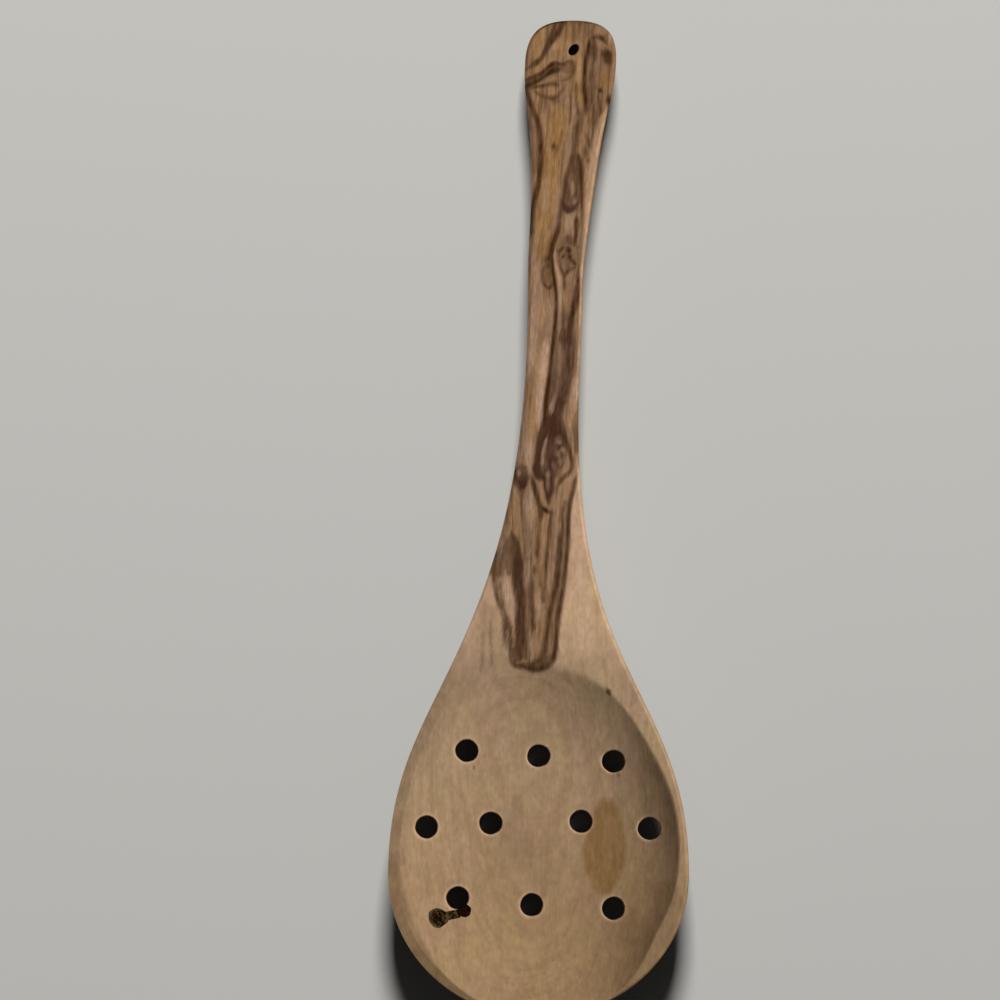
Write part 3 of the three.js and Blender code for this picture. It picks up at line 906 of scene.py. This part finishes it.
def depth_inside(border, x, y):
    """Distance to a closed border, negative where a ray to the right crosses it an even number of times."""
    ring = on_board(border + border[:1])
    gap, _ = nearest(ring, x, y)
    (x0, y0), (x1, y1) = ring[:-1].T[:, None, :], ring[1:].T[:, None, :]
    x, y = x[:, None], y[:, None]
    level = np.where(y1 == y0, 1e-9, y1 - y0)
    crossed = ((y0 > y) != (y1 > y)) & (x < x0 + (x1 - x0) * (y - y0) / level)
    return np.where(crossed.sum(1) % 2, gap, -gap)


tongue_depth = depth_inside(HEARTWOOD, *on_board([TONGUE_MIDDLE]).T)[0]
print(f"the tongue's middle lies {tongue_depth:.1f} mm inside the heartwood")

# %% Points and attributes
def points_of(piece):
    """The piece's points as one array."""
    flat = np.zeros(3 * len(piece.data.vertices), np.float32)
    piece.data.vertices.foreach_get("co", flat)
    return flat.reshape(-1, 3).astype(float)


def attribute(piece, name, values):
    """Stores one number, or one vector, for each point of the piece."""
    kind = "FLOAT_VECTOR" if values.ndim == 2 else "FLOAT"
    layer = piece.data.attributes.new(name, kind, "POINT")
    layer.data.foreach_set("vector" if values.ndim == 2 else "value", values.astype(np.float32).ravel())


x, y, z = points_of(spoon).T
depth = front_at(x, y) - z
print(f"{len(x)} points to colour, up to {depth.max():.1f} mm below the face")

# %% Amounts of each drawn colour
SLANT_ACROSS, SLANT_ALONG = 0.35, 1.2
# The lines sway: height, size across, size along, start and seed, as for the waves of the face.
SWAY_ACROSS, SWAY_ALONG, SWAY_SLANT = (0.7, 4, 9, 30, 21), (1.5, 4, 12, 50, 22), 1.8
FADES, FADED = (2, 7), 0.4
BORDER_SOFT = 0.7

drawn_x = x + SLANT_ACROSS * depth + sway(x, y + SWAY_SLANT * depth, *SWAY_ACROSS)
drawn_y = y - SLANT_ALONG * depth + sway(x, y, *SWAY_ALONG)
amounts = {}
for colour in ("brown", "purple", "amber", "pale"):
    bare = 1 - stroke_amount(gathered(LINES, colour), drawn_x, drawn_y)
    for soft, strength, border in gathered(PATCHES, colour):
        bare *= 1 - strength * ease(depth_inside(border, drawn_x, drawn_y), -soft, soft)
    amounts[colour] = (1 - bare) * (1 - FADED * ease(depth, *FADES))
amounts["brown"] = np.maximum(amounts["brown"], stroke_amount(BOWL_MARKS, x, y) * np.exp(-depth))
amounts["heartwood"] = ease(depth_inside(HEARTWOOD, drawn_x, drawn_y), -BORDER_SOFT, BORDER_SOFT)
print("drawn:", {name: f"{values.mean():.3f}" for name, values in amounts.items()})

# %% Amounts of painted shade and highlight, honey tint and drilling
# Painted shade makes the bowl's face grey brown, for the weaker light that falls on it, less so in one patch.
# Tip and handle are yellower.
BOWL_SHADE_Y, BOWL_SHADE_DEPTH, LESS_SHADE_AT, LESS_SHADE_SIZE, LESS_SHADE_SHARE = (100, 120), (1, 3), (11, 76), (15, 16), 0.45
TIP_HONEY, END_HONEY, END_HONEY_SHARE = (15, 100), (195, 270), 0.7
# Painted shade makes a drilled wall dark from just below the mouth, and a painted highlight turns its sanded
# mouth into a thin pale ring, clear of the bowl's painted shade and honey.
BORE_DEPTH, BORE_REACH, MOUTH_AT, MOUTH_HIGHLIGHT, HIGHLIGHT_CLEARS = (0.15, 1.6), 0.2, 0.4, 0.6, 0.75

less_shade = bell(x, LESS_SHADE_AT[0], LESS_SHADE_SIZE[0]) * bell(y, LESS_SHADE_AT[1], LESS_SHADE_SIZE[1])
steeped = (1 - ease(y, *BOWL_SHADE_Y)) * (1 - ease(depth, *BOWL_SHADE_DEPTH)) * (1 - LESS_SHADE_SHARE * less_shade)
honey = np.maximum(1 - ease(y, *TIP_HONEY), END_HONEY_SHARE * ease(y, *END_HONEY))

holes = np.array(DRAIN_AT)
to_hole = np.hypot(x[:, None] - holes[:, 0], y[:, None] - holes[:, 1]).min(1) - DRAIN_RADIUS
to_hang = np.hypot(x - HANG_AT[0], y - HANG_AT[1]) - max(HANG_HALF_AXES)
mouth_highlight = bell(to_hole, MOUTH_AT, MOUTH_AT) * np.exp(-depth)
amounts["bore"] = ease(depth, *BORE_DEPTH) * (np.minimum(to_hole, to_hang) < BORE_REACH)
# The pale amount also takes the painted highlight round each mouth.
amounts["pale"] = np.maximum(amounts["pale"], MOUTH_HIGHLIGHT * mouth_highlight)
amounts["steeped"] = steeped * (1 - HIGHLIGHT_CLEARS * mouth_highlight)
amounts["honey"] = honey * (1 - HIGHLIGHT_CLEARS * mouth_highlight)
for name, values in amounts.items():
    attribute(spoon, name, values)
print("attributes:", {name: f"{values.mean():.3f}" for name, values in amounts.items()})

# %% [markdown]
# ## The grain's own coordinates
#
# Fibre runs up the spoon and bends round each knot, so patterns need coordinates that do the same: one across
# the grain, one along it, and one that counts growth rings through the blank. They are worked out once for
# every point, by pushing the first one apart at each knot, and are kept as a vector attribute.

# %% Grain coordinates
# Where each knot is, how wide and tall it is, and how strongly it pushes the grain aside.
KNOTS = [
    (10.0, 250.0, 2.6, 9.0, 0.6), (7.6, 229.0, 3.4, 7.0, 0.75), (4.4, 167.5, 4.5, 10.0, 0.8),
    (-5.0, 161.5, 2.2, 4.5, 0.7), (9.8, 286.5, 3.5, 5.0, 0.6), (20.8, 289.6, 2.0, 2.5, 0.6),
    (*ROUND_KNOT_AT, 3.6, 4.5, 0.7), (*DRILLED_KNOT_AT, 3.6, 4.5, 0.7),
]
GRAIN_SWAY, RING_SWAY = (1.1, 7, 20, 3, 24), (3.5, 24, 30, 7, 23)
# Growth rings curve about the pith as a parabola, and lean through the depth and along the bowl.
RING_PITH, RING_CURVE, RING_START = 9, 180, 1.75
RINGS_DEEP, RINGS_LONG, BOWL_TOP = 0.6, 0.06, 100

grain_x = x - centre_line(y) + SLANT_ACROSS * depth
for knot_x, knot_y, wide, tall, push in KNOTS:
    grain_x -= push * (x - knot_x) * bell(x, knot_x, wide) * bell(y, knot_y, tall)
grain_x += sway(x, y, *GRAIN_SWAY)
ring = RING_START + RINGS_DEEP * z - RINGS_LONG * np.minimum(y, BOWL_TOP)
ring += (grain_x + RING_PITH) ** 2 / RING_CURVE + sway(x, y, *RING_SWAY)
attribute(spoon, "grain", np.stack([grain_x, y - SLANT_ALONG * depth, ring], 1))
print(f"grain: {len(KNOTS)} knots, {np.ptp(ring):.0f} mm of growth rings")

# %% [markdown]
# ## Into the frame
#
# The imported spoon lies on its back, with the belly and the grip on the table, so its front is tilted a
# little. The tilt is read from the imported mount on the handle's face, and the place from the imported body's
# box, so the finished meshes land on the solids whatever their numbers are. Each piece then rides on the
# one body and stands for its solid, which is hidden.

# %% Place, ride and replace
MM_PER_M = 1000
SHARP_ANGLE = np.radians(40)
SLOTS = ("olive_wood", "knot_wood", "bark", "knot_wood")
_, normal_y, normal_z = frame["record"]["mounts"][0]["axis"]
tilt = np.array([[1, 0, 0], [0, normal_z, normal_y], [0, -normal_y, normal_z]])
low, high = (np.array(corner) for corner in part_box("spoon_body"))
placed = points_of(spoon) @ tilt.T / MM_PER_M
shift = (low + high) / 2 - (placed.min(0) + placed.max(0)) / 2
shift[2] = low[2] - placed[:, 2].min()


def in_frame(points):
    """Millimetres on the drawing board as metres in the frame: tilted as the solids are, then moved."""
    return points @ tilt.T / MM_PER_M + shift


def settle(piece):
    """Puts a finished mesh in the frame, smooth but for its sharp edges, and hides the solid that it stands
    for.
    """
    piece.data.vertices.foreach_set("co", in_frame(points_of(piece)).astype(np.float32).ravel())
    piece.data.polygons.foreach_set("use_smooth", np.ones(len(piece.data.polygons), bool))
    piece.data.set_sharp_from_angle(angle=SHARP_ANGLE)
    piece.data.update()
    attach(piece, "root")
    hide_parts(piece.name.split(".")[0])


for piece, slot in zip(pieces, SLOTS):
    settle(piece)
tilted = np.degrees(np.arctan2(normal_y, normal_z))
print(f"tilt {tilted:.3f} degrees, shift {(MM_PER_M * shift).round(2)} mm")

# %% [markdown]
# ## Olive wood
#
# The real surface was sanded and lightly oiled: satin, close-grained, with fine fibre, faint growth lines
# where the hollow cuts through them, and short dark pores. The material stacks these from the ground up:
# sapwood and heartwood first, then each drawn colour, the pale one with a painted highlight round the holes'
# mouths, a honey stain and painted shade over the bowl's face, then fibre and pores, and last painted shade
# in the drilled holes. All patterns run in the grain's own coordinates, in millimetres, so the fibre bends
# round the knots.

# %% Node helper and colours
def linear(code):
    """An sRGB hex colour as the linear RGBA that shaders use."""
    srgb = np.array([int(code[i:i + 2], 16) for i in (1, 3, 5)]) / 255
    return (*np.where(srgb > 0.04045, ((srgb + 0.055) / 1.055) ** 2.4, srgb / 12.92).tolist(), 1.0)


def new_material(name):
    """A material with nodes: itself, its node tree and its shader."""
    made = bpy.data.materials.new(name)
    made.use_nodes = True
    return made, made.node_tree, made.node_tree.nodes["Principled BSDF"]


def node(tree, kind, settings, inputs, output=0):
    """Adds one node, links each input that is a socket and sets the others, and gives one output."""
    made = tree.nodes.new(kind)
    for name, value in settings.items():
        setattr(made, name, value)
    for name, value in inputs.items():
        if isinstance(value, bpy.types.NodeSocket):
            tree.links.new(value, made.inputs[name])
        else:
            made.inputs[name].default_value = value
    return made.outputs[output]


SAP_PALE, SAP_WARM, SAP_BLUSH = linear("#c5a582"), linear("#a98460"), linear("#c6a287")
HEART_AMBER, HEART_ROSE, HEART_BROWN = linear("#9d7957"), linear("#9a7a61"), linear("#76583e")
PIGMENTS = {
    "amber": linear("#a07743"), "brown": linear("#3e230b"),
    "purple": linear("#462b1d"), "pale": linear("#bf9c80"),
}
# The bore colour is painted shade inside the drilled holes.
PORE, BORE_SHADE = linear("#4a3423"), linear("#0d0704")
# A honey stain and the bowl's painted shade, each as the colour that it gives to white wood.
HONEY, PAINTED_BOWL_SHADE = linear("#f8f2e3"), linear("#dadbd6")
print("olive wood colours ready")

# %% Olive wood: attributes and noises
# Olive wood, sanded and rubbed with oil: the eye gets strong lines and a fine fibre under a dull satin.
wood, tree, shader = new_material("olive_wood")
grain = node(tree, "ShaderNodeAttribute", {"attribute_name": "grain"}, {}, "Vector")
drawn = {name: node(tree, "ShaderNodeAttribute", {"attribute_name": name}, {}, "Fac") for name in amounts}

# Each noise has the size of its patches in millimetres: across the grain, along it and through the rings.
# Real fibre and pores are finer, and are drawn as coarse as they need to be to show.
NOISES = {
    "fibre": (0.5, 14, 0.8), "figure": (1.1, 14, 2.5), "smoke": (1.3, 6.0, 2.0), "hue": (4.0, 26, 6.0),
    "cloud": (3.2, 5.5, 3.2), "growth": (22, 60, 0.55), "pore": (0.24, 1.8, 0.24), "blush": (11, 16, 9),
    "grit": (0.35, 3.2, 0.5), "dapple": (1.3, 2.2, 1.3),
}
noises = {}
for name, size in NOISES.items():
    spot = node(tree, "ShaderNodeVectorMath", {"operation": "MULTIPLY"}, {0: grain, 1: [1 / s for s in size]})
    inputs = {"Vector": spot, "Scale": 1.0, "Detail": 0.0 if name == "pore" else 2.0}
    noises[name] = node(tree, "ShaderNodeTexNoise", {}, inputs)
print("noises:", ", ".join(noises))

# %% Olive wood: how much of each layer
# A noise from low to high gives an amount from first to second, eased at both ends.
RANGES = {
    "growth": ("growth", 0.4, 0.7, 0.0, 0.27),
    "blush": ("blush", 0.35, 0.65, 0.0, 0.8),
    "rose": ("hue", 0.38, 0.62, 0.0, drawn["heartwood"]),
    "figure": ("figure", 0.4, 0.72, 0.0, drawn["heartwood"]),
    "ragged": ("smoke", 0.28, 0.72, 0.8, 1.15),
    "pores": ("pore", 0.7, 0.82, 0.0, 0.16),
    "shade": ("fibre", 0.28, 0.72, 0.965, 1.03),
    "dapple": ("dapple", 0.25, 0.75, 0.92, 1.07),
    "grit": ("grit", 0.3, 0.7, 0.87, 1.11),
    "cloud": ("cloud", 0.25, 0.75, 0.9, 1.09),
    "roughness": ("fibre", 0.3, 0.7, 0.66, 0.54),
}
SMOOTH = {"interpolation_type": "SMOOTHSTEP"}
amount = {}
for name, (source, low, high, first, second) in RANGES.items():
    inputs = {0: noises[source], 1: low, 2: high, 3: first, 4: second}
    amount[name] = node(tree, "ShaderNodeMapRange", SMOOTH, inputs)
for kind in PIGMENTS:
    settings = {"operation": "MULTIPLY", "use_clamp": True}
    amount[kind] = node(tree, "ShaderNodeMath", settings, {0: drawn[kind], 1: amount["ragged"]})
print("amounts:", ", ".join(amount))

# %% Olive wood: the layers from the ground up
FIBRE_HEIGHT_M, FIBRE_STRENGTH = 0.00006, 0.5
WOOD_IOR, OILED_SPECULAR, DRY_SPECULAR = 1.5, 0.06, 0.0
layers = [
    ("MIX", amount["blush"], SAP_BLUSH),
    ("MIX", amount["growth"], SAP_WARM),
    ("MIX", drawn["heartwood"], HEART_AMBER),
    ("MIX", amount["rose"], HEART_ROSE),
    ("MIX", amount["figure"], HEART_BROWN),
    # The pale pigment also carries the painted highlight round the drain holes' mouths.
    *[("MIX", amount[kind], pigment) for kind, pigment in PIGMENTS.items()],
    ("MULTIPLY", drawn["honey"], HONEY),
    # Painted shade over the bowl's face.
    ("MULTIPLY", drawn["steeped"], PAINTED_BOWL_SHADE),
    *[("MULTIPLY", 1.0, amount[name]) for name in ("shade", "cloud", "dapple")],
    ("MULTIPLY", drawn["heartwood"], amount["grit"]),
    ("MIX", amount["pores"], PORE),
    # Painted shade in the drilled holes.
    ("MIX", drawn["bore"], BORE_SHADE),
]
colour = SAP_PALE
for kind, share, over in layers:
    inputs = {0: share, 6: colour, 7: over}
    colour = node(tree, "ShaderNodeMix", {"data_type": "RGBA", "blend_type": kind}, inputs, 2)
relief = node(tree, "ShaderNodeMath", {"operation": "SUBTRACT"}, {0: noises["fibre"], 1: amount["pores"]})
inputs = {"Strength": FIBRE_STRENGTH, "Distance": FIBRE_HEIGHT_M, "Height": relief}
bump = node(tree, "ShaderNodeBump", {}, inputs)
for socket, value in {"Base Color": colour, "Roughness": amount["roughness"], "Normal": bump}.items():
    tree.links.new(value, shader.inputs[socket])
shader.inputs["IOR"].default_value = WOOD_IOR
shader.inputs["Specular IOR Level"].default_value = OILED_SPECULAR
spoon.data.materials.clear()
spoon.data.materials.append(wood)
print("olive wood:", len(tree.nodes), "nodes")

# %% [markdown]
# ## Dead knot wood and bark
#
# A dead knot is hard dark wood cut across, with its own rings about its own middle. Included bark is dry,
# matt and crumbly. Both are small, so a ring pattern about the knot's axis and one noise are enough. The
# rings are drawn wider than real ones, so that they show at this size.

# %% Knot wood and bark materials
# For each finish: its piece, its middle, a dark and a light colour, the width of a ring, and the roughness.
KNOT_FINISHES = {
    # Hard dead wood sanded flush: nearly black brown, with its rings only just showing.
    "dead_knot_wood": (round_knot, ROUND_KNOT_AT, "#120a04", "#57401f", 2.2, 0.6),
    # The same wood round the drain hole, stained a dark red by resin.
    "resinous_knot_wood": (drilled_knot, DRILLED_KNOT_AT, "#110805", "#36190e", 1.6, 0.6),
    # Dry bark: matt, olive brown, broken up into crumbs.
    "included_bark": (knot_bark, ROUND_KNOT_AT, "#1a1107", "#665539", 2.6, 0.9),
}
CRUMB_MM, SHAKE_M, KNOT_HEIGHT_M, KNOT_STRENGTH = 1.1, 0.006, 0.0001, 0.3
# A ring's wave runs from -1 to 1: it is dark below the first value and light from the second.
RING_DARK, RING_LIGHT = -0.8, 1.0


def knot_material(name, centre, dark, light, ring_mm, rough):
    """Cut rings about an upright axis: distance from it, shaken by noise, swings between two colours."""
    made, tree, shader = new_material(name)
    middle = in_frame(np.array([*centre, 0]))
    place = node(tree, "ShaderNodeTexCoord", {}, {}, "Object")
    inputs = {"Vector": place, "Location": [-middle[0], -middle[1], 0], "Scale": [1, 1, 0]}
    centred = node(tree, "ShaderNodeMapping", {}, inputs)
    inputs = {"Vector": place, "Scale": MM_PER_M / CRUMB_MM, "Detail": 3.0}
    shake = node(tree, "ShaderNodeTexNoise", {}, inputs)
    wide = node(tree, "ShaderNodeVectorMath", {"operation": "LENGTH"}, {0: centred}, "Value")
    bent = node(tree, "ShaderNodeMath", {"operation": "MULTIPLY_ADD"}, {0: shake, 1: SHAKE_M, 2: wide})
    turns = 2 * np.pi * MM_PER_M / ring_mm
    phase = node(tree, "ShaderNodeMath", {"operation": "MULTIPLY"}, {0: bent, 1: turns})
    wave = node(tree, "ShaderNodeMath", {"operation": "SINE"}, {0: phase})
    amount = node(tree, "ShaderNodeMapRange", SMOOTH, {0: wave, 1: RING_DARK, 2: RING_LIGHT, 3: 0.0, 4: 1.0})
    patch = node(tree, "ShaderNodeMath", {"operation": "MULTIPLY"}, {0: amount, 1: shake})
    inputs = {0: patch, 6: linear(dark), 7: linear(light)}
    colour = node(tree, "ShaderNodeMix", {"data_type": "RGBA"}, inputs, 2)
    inputs = {"Strength": KNOT_STRENGTH, "Distance": KNOT_HEIGHT_M, "Height": patch}
    bump = node(tree, "ShaderNodeBump", {}, inputs)
    tree.links.new(colour, shader.inputs["Base Color"])
    tree.links.new(bump, shader.inputs["Normal"])
    shader.inputs["Roughness"].default_value = rough
    shader.inputs["IOR"].default_value = WOOD_IOR
    shader.inputs["Specular IOR Level"].default_value = DRY_SPECULAR
    return made


for name, (piece, *finish) in KNOT_FINISHES.items():
    piece.data.materials.append(knot_material(name, *finish))
print("knot and bark materials ready:", ", ".join(KNOT_FINISHES))

# %% [markdown]
# ## Floor and light
#
# The spoon lies on a plain pale floor. A soft key light stands to the right, as in the photograph. It leaves
# the right and upper walls of the hollow in shade and lights the left and lower ones. A small light at table
# height on the left touches only the edges that face it. The floor has its own light, which doesn't bounce:
# a floor lit with the spoon would throw light up through the drain holes, which are dark in the photograph.

# %% Floor
FLOOR_HALF_M = 3
floor_data = bpy.data.meshes.new("floor")
corners = [(FLOOR_HALF_M * i, FLOOR_HALF_M * j, 0) for i, j in ((-1, -1), (1, -1), (1, 1), (-1, 1))]
floor_data.from_pydata(corners, [], [(0, 1, 2, 3)])
floor = in_scene("floor", floor_data)
# Pale paper: matt and even, so that the eye stays on the wood.
paper, _, shader = new_material("pale_paper")
shader.inputs["Base Color"].default_value = linear("#c9c8c3")
shader.inputs["Roughness"].default_value = 0.9
floor_data.materials.append(paper)
floor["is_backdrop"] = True
print(f"floor {2 * FLOOR_HALF_M} m square")

# %% Lights and world
# The middle of the photograph, which the lights and the camera aim at.
FRAME_PIXELS = 1000
aim = Vector(in_frame(np.array([*on_board((FRAME_PIXELS / 2, FRAME_PIXELS / 2)), 0])))


def softbox(name, around, above, far, size, power, lit, bounces):
    """A square light at two angles in degrees and a distance in metres, which reaches only what it lights."""
    around, above = np.radians((around, above))
    towards = Vector((np.cos(above) * np.cos(around), np.cos(above) * np.sin(around), np.sin(above)))
    data = bpy.data.lights.new(name, "AREA")
    data.size, data.energy = size, power
    data.cycles.max_bounces = bounces
    lamp = in_scene(name, data)
    lamp.location = aim + far * towards
    lamp.rotation_euler = towards.to_track_quat("Z", "Y").to_euler()
    reach = bpy.data.collections.new(name + "_reach")
    for thing in lit:
        reach.objects.link(thing)
    lamp.light_linking.receiver_collection = reach


softbox("key", around=20, above=43, far=0.9, size=0.25, power=9.9, lit=pieces, bounces=4)
softbox("edge_fill", around=178, above=-0.3, far=1.2, size=0.02, power=11, lit=pieces, bounces=0)
softbox("floor_light", around=87, above=34, far=4.0, size=1.0, power=235, lit=[floor], bounces=0)
WORLD_TINT, WORLD_STRENGTH = (1.0, 0.98, 0.95, 1.0), 0.025
world = bpy.data.worlds.new("studio")
world.use_nodes = True
background = world.node_tree.nodes["Background"]
background.inputs["Color"].default_value = WORLD_TINT
background.inputs["Strength"].default_value = WORLD_STRENGTH
bpy.context.scene.world = world
print("lights:", [light.name for light in bpy.data.lights])

# %% [markdown]
# ## Camera
#
# The photograph looks square at the flat front, from far enough away that the holes show no slant. So the
# camera stands on the front's own normal with a very long lens, at the distance where the frame is as wide
# as the photograph's pixels say.

# %% Camera
LENS_MM, SENSOR_MM = 1200.0, 36.0
frame_width = FRAME_PIXELS * PIXEL_MM / MM_PER_M
lens = bpy.data.cameras.new("camera")
lens.lens, lens.sensor_width = LENS_MM, SENSOR_MM
camera = in_scene("camera", lens)
square_on = Matrix(tilt.tolist())
camera.location = aim + square_on.col[2] * (frame_width * LENS_MM / SENSOR_MM)
camera.rotation_euler = square_on.to_euler()
bpy.context.scene.camera = camera
bpy.context.scene.view_settings.view_transform = "Standard"
print("camera", tuple(round(v, 3) for v in camera.location))

# %% [markdown]
# ## The finished box
#
# The finer surfaces may not change the spoon's size, so the box of the finished pieces is printed.

# %% Print the finished box
low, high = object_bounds()
print("visual box", [round(MM_PER_M * v, 2) for v in (*low, *high)], "mm")
